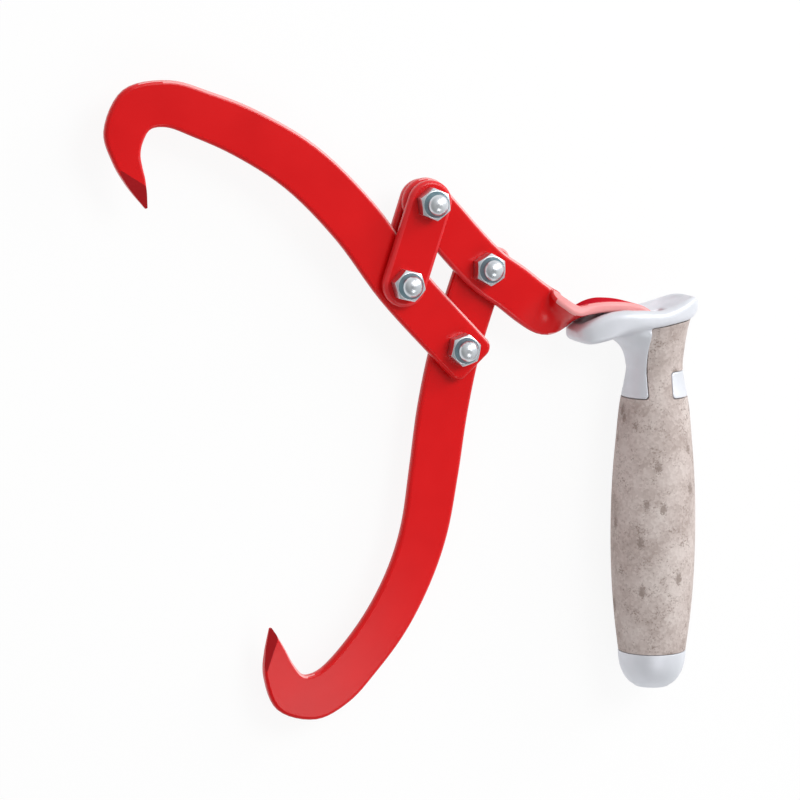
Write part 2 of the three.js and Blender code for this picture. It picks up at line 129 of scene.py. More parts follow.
def finish_with(piece, kind, **settings):
    """Adds one modifier, sets it and applies it."""
    alone(piece)
    bpy.ops.object.modifier_add(type=kind)
    modifier = piece.modifiers[-1]
    for setting, value in settings.items():
        setattr(modifier, setting, value)
    bpy.ops.object.modifier_apply(modifier=modifier.name)


def combine(piece, tool, operation):
    finish_with(piece, "BOOLEAN", object=tool, operation=operation, solver="EXACT")
    bpy.data.objects.remove(tool)


def break_edges(piece, width, segments, degrees):
    """Takes the sharpness off every edge that is steeper than the angle."""
    finish_with(piece, "BEVEL", width=width, segments=segments, limit_method="ANGLE",
                angle_limit=math.radians(degrees))


def smooth_shade(piece, degrees=30):
    """Rounds the shading over shallow angles, and lets the broad faces lead it."""
    alone(piece)
    bpy.ops.object.shade_smooth_by_angle(angle=math.radians(degrees), keep_sharp_edges=True)
    finish_with(piece, "WEIGHTED_NORMAL", keep_sharp=True)


def shift(piece, way):
    """Moves a piece, with the move put into its mesh."""
    piece.location = way
    alone(piece)
    bpy.ops.object.transform_apply(location=True)


def copy_of(piece, name, place, turn_degrees=0):
    """A copy with its own mesh, turned about Z and moved, with both put into that mesh."""
    alone(piece)
    bpy.ops.object.duplicate(linked=False)
    bpy.context.object.location = place
    bpy.context.object.rotation_euler.z = math.radians(turn_degrees)
    return settle(name)


print("Helpers ready")

# %% [markdown]
# The bars are bent and cut along smooth curves. A centripetal Catmull-Rom curve runs through a few given points
# and never loops between them, so the outline needs only the points that its shape needs.

# %% Helper for smooth lines
def smooth_line(points, steps):
    """Points on a centripetal Catmull-Rom curve, with so many steps from each given point to the next."""
    before = points[0] * 2 - points[1]
    after = points[-1] * 2 - points[-2]
    padded = [before, *points, after]
    line = []
    for p0, p1, p2, p3 in zip(padded, padded[1:], padded[2:], padded[3:]):
        d0 = math.sqrt((p1 - p0).length)
        d1 = math.sqrt((p2 - p1).length)
        d2 = math.sqrt((p3 - p2).length)
        leave = ((p1 - p0) / d0 - (p2 - p0) / (d0 + d1) + (p2 - p1) / d1) * d1
        arrive = ((p2 - p1) / d1 - (p3 - p1) / (d1 + d2) + (p3 - p2) / d2) * d1
        for step in range(steps):
            t = step / steps
            bend = p2 * 3 - p1 * 3 - leave * 2 - arrive
            swing = p1 * 2 - p2 * 2 + leave + arrive
            line.append(p1 + leave * t + bend * t ** 2 + swing * t ** 3)
    return [*line, points[-1].copy()]


def smoothstep(value, low, high):
    share = min(max((value - low) / (high - low), 0), 1)
    return share * share * (3 - 2 * share)


hill = smooth_line([Vector((x, x * x, 0)) for x in range(3)], 4)
print("A curve through 3 points in 4 steps a span has", len(hill), "points")

# %% [markdown]
# The photograph was taken from the front, a little from the left and from above. The tool lies on its back
# here, so the camera looks down on it, from about 1.7 m and with a long lens, which keeps parallel bars nearly
# parallel.

# %% Camera
camera_distance = 1700 * mm
camera_lens = 170
aim_from_c = Vector((-40.7422, -58.2107, 0)) * mm
toward_camera = Vector((-0.33869, 0.13917, 0.93055))
camera_up = Vector((0.0476, 0.99027, -0.13078))
camera_right = camera_up.cross(toward_camera)

bpy.ops.object.camera_add(location=pivots["C"] + aim_from_c + toward_camera * camera_distance)
camera = bpy.context.object
camera.name = "camera"
camera.data.lens = camera_lens
camera.rotation_euler = Matrix((camera_right, camera_up, toward_camera)).transposed().to_euler()
bpy.context.scene.camera = camera
print("Camera at", [round(side, 3) for side in camera.location])

# %% [markdown]
# Materials are node groups of simple parts. One helper adds a node, sets it and links it, and one turns the
# sRGB hex value of a colour, as read from a colour card, into the linear light that the renderer works with.

# %% Helpers for materials
def linear(code):
    """Linear light of an sRGB hex colour, with an alpha of one."""
    shares = [int(code[place:place + 2], 16) / 255 for place in (1, 3, 5)]
    return [s / 12.92 if s <= 0.04045 else ((s + 0.055) / 1.055) ** 2.4 for s in shares] + [1.0]


def node(tree, kind, links=None, values=None, **settings):
    """Adds a node: settings are its own, values go on its sockets, and links join outputs to them."""
    made = tree.nodes.new(kind)
    for setting, value in settings.items():
        setattr(made, setting, value)
    for socket, value in (values or {}).items():
        made.inputs[socket].default_value = value
    for socket, output in (links or {}).items():
        tree.links.new(output, made.inputs[socket])
    return made


def new_material(name):
    """A bare material, its node tree, and the coordinates of the object itself."""
    material = bpy.data.materials.new(name)
    material.use_nodes = True
    tree = material.node_tree
    tree.nodes.clear()
    return material, tree, node(tree, "ShaderNodeTexCoord").outputs["Object"]


def ramp_between(tree, factor, stops):
    """A colour ramp through [place, hex colour] stops."""
    made = node(tree, "ShaderNodeValToRGB", {"Fac": factor})
    elements = made.color_ramp.elements
    while len(elements) < len(stops):
        elements.new(0.5)
    for element, (place, code) in zip(elements, stops):
        element.position = place
        element.color = linear(code)
    return made.outputs["Color"]


print("Mid grey #808080 is", round(linear("#808080")[0], 3), "in linear light")

# %% [markdown]
# Powder coat is polyester powder sprayed on the bare steel and baked. It flows into a glossy, even film, with
# a faint orange peel a millimetre or so across. It is thinner and paler over a rim. The hand has rubbed it matt
# on the bar's back. A pale coat on the edges that face the light is a painted highlight, and a dark coat
# over the ground points is a painted shade.

# %% Red powder coat
peel_width = 1.4 * mm
coat_cloud_width = 30 * mm


def powder_coat_of(name, thick, thin, roughness=0.2, reflection=0.28):
    """A powder coat between two shades, with clouds of gloss and an orange peel."""
    material, tree, here = new_material(name)
    clouds = node(tree, "ShaderNodeTexNoise", {"Vector": here}, {"Scale": 1 / coat_cloud_width, "Detail": 2})
    peel = node(tree, "ShaderNodeTexNoise", {"Vector": here}, {"Scale": 1 / peel_width, "Detail": 1})
    red = ramp_between(tree, clouds.outputs["Fac"], [[0.3, thick], [0.7, thin]])
    gloss = node(tree, "ShaderNodeMapRange", {"Value": clouds.outputs["Fac"]},
                 {"To Min": roughness, "To Max": roughness + 0.06})
    skin = node(tree, "ShaderNodeBump", {"Height": peel.outputs["Fac"]},
                {"Strength": 0.12, "Distance": 0.1 * mm})
    film = node(tree, "ShaderNodeBsdfPrincipled",
                {"Base Color": red, "Roughness": gloss.outputs["Result"], "Normal": skin.outputs["Normal"]},
                {"IOR": 1.5, "Specular IOR Level": reflection})
    node(tree, "ShaderNodeOutputMaterial", {"Surface": film.outputs["BSDF"]})
    return material


powder_coat = powder_coat_of("red_polyester_powder_coat", "#CB080D", "#D40C10")
thin_coat = powder_coat_of("red_powder_coat_thin_over_an_edge", "#D02226", "#DA2E32")
# painted highlight: a pale coat for the edges that face the lamps
painted_highlight_coat = powder_coat_of("red_powder_coat_painted_highlight_on_an_edge", "#E49292", "#EEA4A4")
rubbed_coat = powder_coat_of("red_powder_coat_rubbed_matt_by_the_hand", "#BC1A28", "#C62432", 0.7, 0.0)
# painted shade: a dark coat for the ground faces of the points
ground_shade_coat = powder_coat_of("red_powder_coat_painted_shade_on_the_ground_point", "#9A0A12", "#A40E16", 0.3, 0.2)
print("Orange peel in", round(1 / peel_width), "waves per metre")

# %% [markdown]
# Nuts and bolts are cold forged steel, bright zinc plated and passivated. The plating keeps the polish of the
# die, with a cool cast and faint cloudiness. The groove round a dome is painted a dull blue grey, a painted
# shade, which gives each nut its dark ring.

# %% Zinc plate
plating_cloud_width = 5 * mm


def plating_of(name, dark, light, metallic, roughness):
    """A plating between two shades, clouded in colour and gloss."""
    material, tree, here = new_material(name)
    clouds = node(tree, "ShaderNodeTexNoise", {"Vector": here}, {"Scale": 1 / plating_cloud_width, "Detail": 3})
    silver = ramp_between(tree, clouds.outputs["Fac"], [[0.3, dark], [0.7, light]])
    gloss = node(tree, "ShaderNodeMapRange", {"Value": clouds.outputs["Fac"]},
                 {"To Min": roughness, "To Max": roughness + 0.1})
    plating = node(tree, "ShaderNodeBsdfPrincipled",
                   {"Base Color": silver, "Roughness": gloss.outputs["Result"]}, {"Metallic": metallic})
    node(tree, "ShaderNodeOutputMaterial", {"Surface": plating.outputs["BSDF"]})
    return material


zinc_plate = plating_of("bright_zinc_plated_steel", "#CDD3D9", "#DEE2E6", 1.0, 0.24)
# painted shade: a dark blue grey zinc for the groove round the dome
groove_shade_zinc = plating_of("zinc_plate_painted_shade_in_the_groove", "#5F7A84", "#75909A", 0.5, 0.45)
print("Zinc plate clouds are", plating_cloud_width / mm, "mm wide")

# %% [markdown]
# The grip's head and its end cap are pressure die cast in aluminium and tumbled, then lacquered clear. That
# leaves a soft satin, pale and faintly blue, with a fine grain.

# %% Cast aluminium
grain_width = 0.8 * mm
casting_cloud_width = 14 * mm
cast_aluminium, tree, here = new_material("tumbled_die_cast_aluminium")
clouds = node(tree, "ShaderNodeTexNoise", {"Vector": here}, {"Scale": 1 / casting_cloud_width, "Detail": 2})
grain = node(tree, "ShaderNodeTexNoise", {"Vector": here}, {"Scale": 1 / grain_width, "Detail": 2})
grey = ramp_between(tree, clouds.outputs["Fac"], [[0.3, "#D3D6DC"], [0.7, "#DFE1E8"]])
gloss = node(tree, "ShaderNodeMapRange", {"Value": grain.outputs["Fac"]}, {"To Min": 0.42, "To Max": 0.56})
skin = node(tree, "ShaderNodeBump", {"Height": grain.outputs["Fac"]}, {"Strength": 0.1, "Distance": 0.1 * mm})
casting = node(tree, "ShaderNodeBsdfPrincipled",
               {"Base Color": grey, "Roughness": gloss.outputs["Result"], "Normal": skin.outputs["Normal"]},
               {"Metallic": 0.4})
node(tree, "ShaderNodeOutputMaterial", {"Surface": casting.outputs["BSDF"]})
print("Cast aluminium has a grain of", grain_width / mm, "mm")

# %% [markdown]
# The grip's sleeve is cork granulate pressed with resin. Granules a millimetre or so across lie in paler and
# darker tones. Dark flecks of bark gather in clusters between them, and shallow oval pits show where a granule
# has come away. The pits are painted dark like the flecks, a painted shade inside them.

# %% Cork composite
granule_width = 1.3 * mm
fleck_width = 0.9 * mm
cluster_width = 7 * mm
cork_cloud_width = 16 * mm
pit_spacing = 9.5 * mm
pit_stretch = 0.6
ragged_share = 0.45
granule_share = 0.22
cluster_share = 0.6
fleck_and_pit_shade_share = 0.7
cork, tree, here = new_material("pressed_cork_composite")
granules = node(tree, "ShaderNodeTexVoronoi", {"Vector": here}, {"Scale": 1 / granule_width})
clouds = node(tree, "ShaderNodeTexNoise", {"Vector": here}, {"Scale": 1 / cork_cloud_width, "Detail": 5})
flecks = node(tree, "ShaderNodeTexNoise", {"Vector": here}, {"Scale": 1 / fleck_width, "Detail": 3})
upright = node(tree, "ShaderNodeMapping", {"Vector": here}, {"Scale": (1, pit_stretch, 1)})
pits = node(tree, "ShaderNodeTexVoronoi", {"Vector": upright.outputs["Vector"]}, {"Scale": 1 / pit_spacing})
ragged = node(tree, "ShaderNodeMath", {0: flecks.outputs["Fac"], 2: pits.outputs["Distance"]},
              {1: ragged_share}, operation="MULTIPLY_ADD")
pit = node(tree, "ShaderNodeMapRange", {"Value": ragged.outputs["Value"]},
           {"From Min": 0.34, "From Max": 0.46, "To Min": 1.0, "To Max": 0.0}, interpolation_type="SMOOTHSTEP")
tone = node(tree, "ShaderNodeSeparateColor", {"Color": granules.outputs["Color"]})
grained = node(tree, "ShaderNodeMath", {0: tone.outputs["Red"], 2: clouds.outputs["Fac"]},
               {1: granule_share}, operation="MULTIPLY_ADD")
body = ramp_between(tree, grained.outputs["Value"], [[0.4, "#AA9C96"], [0.6, "#BDB0AB"], [0.8, "#CBC0BB"]])
clusters = node(tree, "ShaderNodeTexNoise", {"Vector": here}, {"Scale": 1 / cluster_width, "Detail": 2})
gathered = node(tree, "ShaderNodeMath", {0: clusters.outputs["Fac"], 2: flecks.outputs["Fac"]},
                {1: cluster_share}, operation="MULTIPLY_ADD")
dark = node(tree, "ShaderNodeMapRange", {"Value": gathered.outputs["Value"]},
            {"From Min": 0.88, "From Max": 1.05})
# real bark flecks and painted shade in the pits darken the cork together
flecks_and_pit_shade = node(tree, "ShaderNodeMath", {0: dark.outputs["Result"], 1: pit.outputs["Result"]},
             operation="MAXIMUM")
share = node(tree, "ShaderNodeMath", {0: flecks_and_pit_shade.outputs["Value"]}, {1: fleck_and_pit_shade_share}, operation="MULTIPLY")
bark_and_pit_shade = node(tree, "ShaderNodeMix", {"Factor": share.outputs["Value"], "A": body},
            {"B": linear("#7F7068")}, data_type="RGBA")
relief = node(tree, "ShaderNodeMath", {0: granules.outputs["Distance"], 1: pit.outputs["Result"]},
              operation="SUBTRACT")
skin = node(tree, "ShaderNodeBump", {"Height": relief.outputs["Value"]},
            {"Strength": 0.3, "Distance": 0.3 * mm})
sleeve = node(tree, "ShaderNodeBsdfPrincipled",
              {"Base Color": bark_and_pit_shade.outputs["Result"], "Normal": skin.outputs["Normal"]}, {"Roughness": 0.85})
node(tree, "ShaderNodeOutputMaterial", {"Surface": sleeve.outputs["BSDF"]})
print("Cork granules are", granule_width / mm, "mm wide")

# %% [markdown]
# Two small plain finishes are left: the moulded nylon ring that locks each nut, cloudy blue and half matt, and
# the turned steel of the pin and the screw that hold the grip together, grey with a soft shine.

# %% Nylon and plain steel
nylon_cloud_width = 3 * mm
turning_width = 1.5 * mm
nylon, tree, here = new_material("moulded_nylon")
clouds = node(tree, "ShaderNodeTexNoise", {"Vector": here}, {"Scale": 1 / nylon_cloud_width})
blue = ramp_between(tree, clouds.outputs["Fac"], [[0.3, "#5A81B2"], [0.7, "#668DBF"]])
ring = node(tree, "ShaderNodeBsdfPrincipled", {"Base Color": blue}, {"Roughness": 0.5, "IOR": 1.53})
node(tree, "ShaderNodeOutputMaterial", {"Surface": ring.outputs["BSDF"]})

plain_steel, tree, here = new_material("turned_plain_steel")
turning = node(tree, "ShaderNodeTexNoise", {"Vector": here}, {"Scale": 1 / turning_width, "Detail": 3})
gloss = node(tree, "ShaderNodeMapRange", {"Value": turning.outputs["Fac"]}, {"To Min": 0.3, "To Max": 0.45})
bare = node(tree, "ShaderNodeBsdfPrincipled", {"Roughness": gloss.outputs["Result"]},
            {"Base Color": linear("#A5A8AC"), "Metallic": 1.0})
node(tree, "ShaderNodeOutputMaterial", {"Surface": bare.outputs["BSDF"]})

hidden_finishes = {"tang_pin": plain_steel, "cap_screw": plain_steel}
hidden_finishes.update({"nylon_insert_" + letter: nylon for letter in "abcd"})
for name, material in hidden_finishes.items():
    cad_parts[name].data.materials.clear()
    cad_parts[name].data.materials.append(material)
print(len(hidden_finishes), "hidden pieces of the frame have their finish")

# %% [markdown]
# A finished piece gets its materials. It rides on a body of the linkage, and it takes the place of its plain
# solid in the frame.

# %% Helper that dresses a piece
def dress(piece, materials, slot, body, *stands_for):
    """Gives a piece its materials, the body that it moves with and the nodes it stands for. Its slot is not
    used.
    """
    for index, material in enumerate(materials):
        if index == len(piece.data.materials):
            piece.data.materials.append(material)
        piece.data.materials[index] = material
    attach(piece, body)
    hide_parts(*stands_for)
    print(piece.name, "has", len(piece.data.polygons), "faces")


# %% [markdown]
# Both jaws and the handle bar are cut from flat bar. A strip that starts as a small plane is drawn out by
# extruding its far edge from pair to pair of points, as a smith would draw the bar along its bend. The strip
# is then given the thickness of the plate, so the width can change along the way and the thickness never does.

# %% Helper that draws a strip
plate = 5 * mm
strip_steps = 6
same_place = mm / 100
root_reach = mm / 10
root_steps = 12
full_slot, rim_slot = 0, 1


def thicken(sheet, thickness=plate):
    """Makes plate of a sheet. Its rims get the second coat."""
    sheet.data.materials.append(powder_coat)
    sheet.data.materials.append(thin_coat)
    finish_with(sheet, "SOLIDIFY", thickness=thickness, offset=0, use_even_offset=True,
                material_offset_rim=rim_slot)


def draw_strip(name, pairs, thickness=plate, cuts=0):
    """A bar whose two edges run through pairs of points. A twisted one needs cuts along its middle."""
    strip = set_down(name, bpy.ops.mesh.primitive_plane_add, size=plate, location=pairs[0][0])
    edit(strip)
    bpy.ops.mesh.select_mode(type="VERT")
    corners = [corner.co.copy() for corner in strip.data.vertices]
    for corner, place in zip(corners, pairs[0] + pairs[1]):
        pick("VERT", lambda vertex: (vertex.co - corner).length < same_place)
        bpy.ops.transform.translate(value=place - corner)
    pick("VERT", lambda vertex: min((vertex.co - place).length for place in pairs[1]) < same_place)
    for (left, right), (next_left, next_right) in zip(pairs[1:], pairs[2:]):
        bpy.ops.mesh.extrude_edges_move(TRANSFORM_OT_translate={"value": next_left - left})
        mesh = bmesh.from_edit_mesh(strip.data)
        ends = [vertex for vertex in mesh.verts if vertex.select]
        near = min(ends, key=lambda vertex: (vertex.co - next_left).length)
        near.select_set(False)
        bpy.ops.transform.translate(value=(next_right - right) - (next_left - left))
        near.select_set(True)
        mesh.select_flush(True)
    if cuts:
        pick("EDGE", lambda edge: len(edge.link_faces) == 2)
        bpy.ops.mesh.subdivide(number_cuts=cuts)
    leave_edit()
    thicken(strip, thickness)
    return strip


def round_root(piece, root, axis, corner):
    """Rounds the two square corners at the root of a bar."""
    def at_root(edge):
        along = (edge.verts[1].co - edge.verts[0].co).normalized()
        return abs(along.z) > 0.99 and all(abs((end.co - root).dot(axis)) < root_reach for end in edge.verts)

    edit(piece)
    pick("EDGE", at_root)
    bpy.ops.mesh.bevel(offset=corner, segments=root_steps, affect="EDGES")
    leave_edit()


print("Bars are", plate / mm, "mm plate")

# %% [markdown]
# Each jaw is a curved bar that keeps its width along the arm and narrows to the point of its hook. Its places
# are shares of its reach and rise, so a longer jaw keeps its curve. Its two edges run beside those places, half
# the width away on each side.

# %% Outline of a jaw
jaw_width = 24 * mm
jaw_end_overhang = 11 * mm
jaw_end_corner = 5 * mm
tip_width = 1 * mm


def jaw_pairs(root, first, stations):
    """Pairs of points along a jaw from its root. A station is a place and a share of the full width."""
    centres = [first] + [place for place, share in stations]
    shares = [1] + [share for place, share in stations]
    axis = (centres[1] - first).normalized()
    sides = {1: [], -1: []}
    for index, centre in enumerate(centres):
        before = centres[max(index - 1, 0)]
        after = centres[min(index + 1, len(centres) - 1)]
        tangent = (after - before).normalized()
        half = max(jaw_width * shares[index], tip_width) / 2
        for side in sides:
            sides[side].append(centre + Vector((-tangent.y, tangent.x, 0)) * half * side)
    left, right = (smooth_line(sides[side], strip_steps) for side in (1, -1))
    half = Vector((-axis.y, axis.x, 0)) * jaw_width / 2
    return [[root + half, root - half]] + [list(pair) for pair in zip(left, right)]


print("Jaws are", jaw_width / mm, "mm wide")

# %% [markdown]
# The edges are rounded by a bevel whose weight fades toward the tip, where the bar is too narrow for a full
# round. The tip is ground down from both faces, which a bisection does exactly as the wheel would. Last, the
# pivots' holes are drilled with running clearance.

# %% Helpers that soften, grind and drill
edge_round = 1.8 * mm
edge_steps = 4
rim_degrees = 50
round_shares = [[3 * mm, 0.12], [8 * mm, 0.25], [14 * mm, 0.45], [22 * mm, 0.7], [math.inf, 1]]
tip_thickness = 1.2 * mm
hole_radius = 4.3 * mm
hole_steps = 48


def soften_rims(piece, tip=None):
    """Rounds the long edges of a bar. Up to each distance from its tip they get that share of the round."""
    def is_rim(edge):
        return len(edge.link_faces) == 2 and edge.calc_face_angle() > math.radians(rim_degrees)

    edit(piece)
    start = 0
    for end, share in round_shares if tip else round_shares[-1:]:
        def in_band(edge):
            away = ((edge.verts[0].co + edge.verts[1].co) / 2 - tip).length if tip else 0
            return start <= away < end and is_rim(edge)

        if pick("EDGE", in_band):
            bpy.ops.transform.edge_bevelweight(value=share)
        start = end
    leave_edit()
    finish_with(piece, "BEVEL", width=edge_round, segments=edge_steps, limit_method="WEIGHT",
                use_clamp_overlap=False, material=rim_slot)


def grind(piece, outer, inner, tip):
    """Takes both faces down toward the tip, from the line between two places on the hook's edges."""
    across = (inner - outer).normalized()
    toward = Vector((-across.y, across.x, 0))
    run = (tip - outer).dot(toward)
    fall = math.atan2((plate - tip_thickness) / 2, abs(run))
    toward *= math.copysign(1, run)
    edit(piece)
    for face in (1, -1):
        bpy.ops.mesh.select_all(action="SELECT")
        on_face = outer + Vector((0, 0, face * plate / 2))
        normal = toward * math.sin(fall) + Vector((0, 0, face * math.cos(fall)))
        bpy.ops.mesh.bisect(plane_co=on_face, plane_no=normal, use_fill=True, clear_outer=True,
                            threshold=mm / 1000)
        bpy.ops.mesh.mark_sharp()
    leave_edit()


def drill(piece, *places):
    for place in places:
        tool = set_down("drill", bpy.ops.mesh.primitive_cylinder_add, vertices=hole_steps, radius=hole_radius,
                        depth=plate * 8, location=place)
        combine(piece, tool, "DIFFERENCE")


print("A pivot's hole has", hole_radius / mm, "mm radius")

# %% [markdown]
# The coat isn't the same all over a jaw. The edges that look up and to the right get a pale coat, a painted
# highlight. The ground faces get a dark coat, and the rims to the lower left keep the full red, darker than the
# other rims; both are painted shade. Faces are found by where they look, and the ground ones also by their size
# and by how near the tip they are.

# %% Coats of a jaw
highlight_rise = 0.2
highlight_lean = 0.55
highlight_slope = (0.4, 0.9)
shaded_rim_lean = 0.2
ground_slope = (0.9, 0.998)
ground_reach = 30 * mm
ground_area = 12 * mm * mm
jaw_coats = (powder_coat, thin_coat, ground_shade_coat, painted_highlight_coat)


def coat_faces(piece, coat, wanted):
    """In edit mode, gives one of the piece's coats to the faces for which wanted is true."""
    pick("FACE", wanted)
    piece.active_material_index = piece.data.materials.find(coat.name)
    bpy.ops.object.material_slot_assign()


def is_highlight_edge(face):
    """Whether a face lies on the round of an edge that looks up and to the right, where a highlight is painted.
    """
    leans = face.normal.y > highlight_rise and face.normal.x + face.normal.y > highlight_lean
    return face.material_index == rim_slot and leans and highlight_slope[0] < face.normal.z < highlight_slope[1]


def is_ground(face, tip):
    slopes = ground_slope[0] < abs(face.normal.z) < ground_slope[1]
    return slopes and face.calc_area() > ground_area and (face.calc_center_median() - tip).length < ground_reach


def coat_jaw(piece, tip):
    """Painted highlight on the edges that face the light, painted shade on the ground faces and on the rims to
    the lower left.
    """
    for coat in jaw_coats[2:]:
        piece.data.materials.append(coat)
    edit(piece)
    coat_faces(piece, painted_highlight_coat, is_highlight_edge)
    # painted shade on the ground faces near the tip
    coat_faces(piece, ground_shade_coat, lambda face: is_ground(face, tip))
    # painted shade: rims to the lower left get the full, darker red
    coat_faces(piece, powder_coat, lambda face: face.material_index == rim_slot
               and face.normal.x + face.normal.y < shaded_rim_lean)
    leave_edit()


print("A jaw has", len(jaw_coats), "coats")

# %% [markdown]
# Both jaws are forged alike. The arm leaves one pivot and its root reaches past another, square at first and
# then with rounded corners. The work is done in the middle layer, and the jaw is laid in its own layer after.

# %% Helper that makes a jaw
def forge_jaw(name, root_letter, arm_letter, reach, rise, shares, grind_shares, layer=0):
    """A jaw from its places as shares of its reach and rise, and the two places where its ground face starts."""
    def place_of(x, y):
        return pivots[arm_letter] + Vector((x * reach, y * rise, 0))

    stations = [(pivots[arm_letter], 1)] + [(place_of(x, y), share) for x, y, share in shares]
    inward = (pivots[arm_letter] - pivots[root_letter]).normalized()
    root = pivots[root_letter] - inward * jaw_end_overhang
    tip = stations[-1][0]
    jaw = draw_strip(name, jaw_pairs(root, pivots[root_letter], stations))
    round_root(jaw, root, inward, jaw_end_corner)
    soften_rims(jaw, tip)
    grind(jaw, *[place_of(x, y) for x, y in grind_shares], tip)
    drill(jaw, *[pivots[letter] for letter in sorted([root_letter, arm_letter])])
    shift(jaw, (0, 0, layer * layer_pitch))
    smooth_shade(jaw)
    coat_jaw(jaw, tip)
    return jaw


print("A jaw's root reaches", jaw_end_overhang / mm, "mm past its pivot")

# %% [markdown]
# The upper jaw hangs on pivots B and D. It climbs to the left in one long arch and turns down into a hook. In
# each row of its shares are a place along its reach and its rise, and how much of the full width it has there.

# %% Upper jaw
upper_reach = 127 * mm
upper_rise = 82.5 * mm
upper_shares = [
    [-0.168, 0.343, 1], [-0.37, 0.648, 0.98], [-0.573, 0.839, 0.93], [-0.725, 0.939, 0.885],
    [-0.849, 1, 0.855], [-0.959, 0.972, 0.88], [-1.006, 0.836, 0.755], [-0.997, 0.715, 0.53],
    [-0.964, 0.585, 0.35], [-0.928, 0.45, 0],
]
upper_grind_shares = [[-1.05, 0.685], [-0.935, 0.573]]
upper_jaw = forge_jaw("upper_jaw_forged", "D", "B", upper_reach, upper_rise, upper_shares, upper_grind_shares)
dress(upper_jaw, jaw_coats, "red_powder_coat", "upper_hook", "upper_jaw")

# %% [markdown]
# The lower jaw hangs on pivots C and D, one layer behind the upper one. Its arm drops nearly straight and then
# sweeps round to a point that faces the other hook, so its rise is a drop.

# %% Lower jaw
lower_reach = 89 * mm
lower_drop = 155.5 * mm
lower_shares = [
    [-0.072, 0.184, 1], [-0.118, 0.36, 0.98], [-0.172, 0.536, 0.935], [-0.253, 0.668, 0.9],
    [-0.375, 0.796, 0.885], [-0.521, 0.902, 0.86], [-0.653, 0.976, 0.87], [-0.769, 1.006, 0.885],
    [-0.895, 0.988, 0.82], [-0.956, 0.922, 0.61], [-0.978, 0.862, 0.385], [-0.999, 0.794, 0],
]
lower_grind_shares = [[-1.03, 0.93], [-0.962, 0.819]]
lower_jaw = forge_jaw("lower_jaw_forged", "C", "D", lower_reach, -lower_drop, lower_shares,
                      lower_grind_shares, layer=-1)
dress(lower_jaw, jaw_coats, "red_powder_coat", "lower_hook", "lower_jaw")

# %% [markdown]
# The handle bar starts flat between the links and turns a quarter about its own length as it dips toward the
# grip, so that its broad side carries the load there. The strip does the same: each pair of points lies across
# the bar, and the line between them turns from the plane of the jaws to square across it. The lower edge takes
# a longer way to turn than the upper one, and cuts along the middle let the broad faces follow the twist.

# %% Path of the handle bar
grip_offset = grip_axis_x - pivots["C"].x
bar_width = 22 * mm
tang_width = 14 * mm
twist_start = {"upper": 25 * mm, "lower": 18 * mm}
twist_end = {"upper": 44 * mm, "lower": 60 * mm}
tang_start_share = 0.9
bar_cuts = 7
bar_path_shares = [
    [0.155, -0.11], [0.27, -0.198], [0.37, -0.255], [0.45, -0.25], [0.53, -0.235], [0.62, -0.226],
    [0.73, -0.228], [0.8, -0.236], [0.86, -0.252], [0.92, -0.288], [0.965, -0.35], [0.99, -0.44], [1, -0.58],
]


def bar_pairs(play=0.0):
    """Pairs of points along the handle bar, wider by the play on each side."""
    path = [Vector((x * grip_offset, y * grip_offset, 0)) + pivots["C"] for x, y in bar_path_shares]
    line = smooth_line([pivots["A"], pivots["C"], *path], strip_steps)
    axis = (pivots["C"] - pivots["A"]).normalized()
    half = bar_width / 2 + play
    across = Vector((-axis.y, axis.x, 0)) * half
    root = pivots["A"] - axis * half
    pairs = [[root + across, root - across]]
    for index in range(2, len(line)):
        centre = line[index]
        tangent = (line[min(index + 1, len(line) - 1)] - line[index - 1]).normalized()
        run = centre.x - pivots["C"].x
        tapered = smoothstep(run, tang_start_share * grip_offset, grip_offset)
        half = (bar_width + (tang_width - bar_width) * tapered) / 2 + play
        pair = []
        for side, edge in ((1, "upper"), (-1, "lower")):
            twist = smoothstep(run, twist_start[edge], twist_end[edge]) * math.pi / 2
            wide = Vector((-tangent.y, tangent.x, 0)) * math.cos(twist) + Vector((0, 0, 1)) * math.sin(twist)
            pair.append(centre + wide * half * side)
        pairs.append(pair)
    return pairs


print("The handle bar runs through", len(bar_pairs()), "pairs of points")

# %% [markdown]
# The bar's root is a half circle about pivot A, which two corner rounds of just under half the width make. Its
# upper edge gets the pale coat, a painted highlight. Past the twist the rim that faces forward gets that painted
# highlight too, and the broad side that has turned upward is rubbed matt.

# %% Handle bar
half_round_share = 0.499
turned_start = 32 * mm
square_on = 0.5
bar_coats = (powder_coat, thin_coat, painted_highlight_coat, rubbed_coat)

handle_bar = draw_strip("handle_bar_twisted", bar_pairs(), cuts=bar_cuts)
bar_axis = (pivots["C"] - pivots["A"]).normalized()
round_root(handle_bar, pivots["A"] - bar_axis * bar_width / 2, bar_axis, bar_width * half_round_share)
soften_rims(handle_bar)
drill(handle_bar, pivots["A"], pivots["C"])
smooth_shade(handle_bar)
for coat in bar_coats[2:]:
    handle_bar.data.materials.append(coat)


def past_twist(face):
    return face.calc_center_median().x > pivots["C"].x + turned_start


edit(handle_bar)
# painted highlight on the upper edge and on the forward rim past the twist
coat_faces(handle_bar, painted_highlight_coat, lambda face: is_highlight_edge(face)
           or face.material_index == rim_slot and face.normal.z > square_on and past_twist(face))
coat_faces(handle_bar, rubbed_coat, lambda face: face.material_index == full_slot
           and face.normal.y > square_on and past_twist(face))
leave_edit()
dress(handle_bar, bar_coats, "red_powder_coat", "handle", "handle_bar")

# %% [markdown]
# A link is the plainest bar: two half circles about its pivots, joined straight. It starts as a disc, half of
# which is moved along to the other pivot, and it is then given its thickness and its rounded edges.

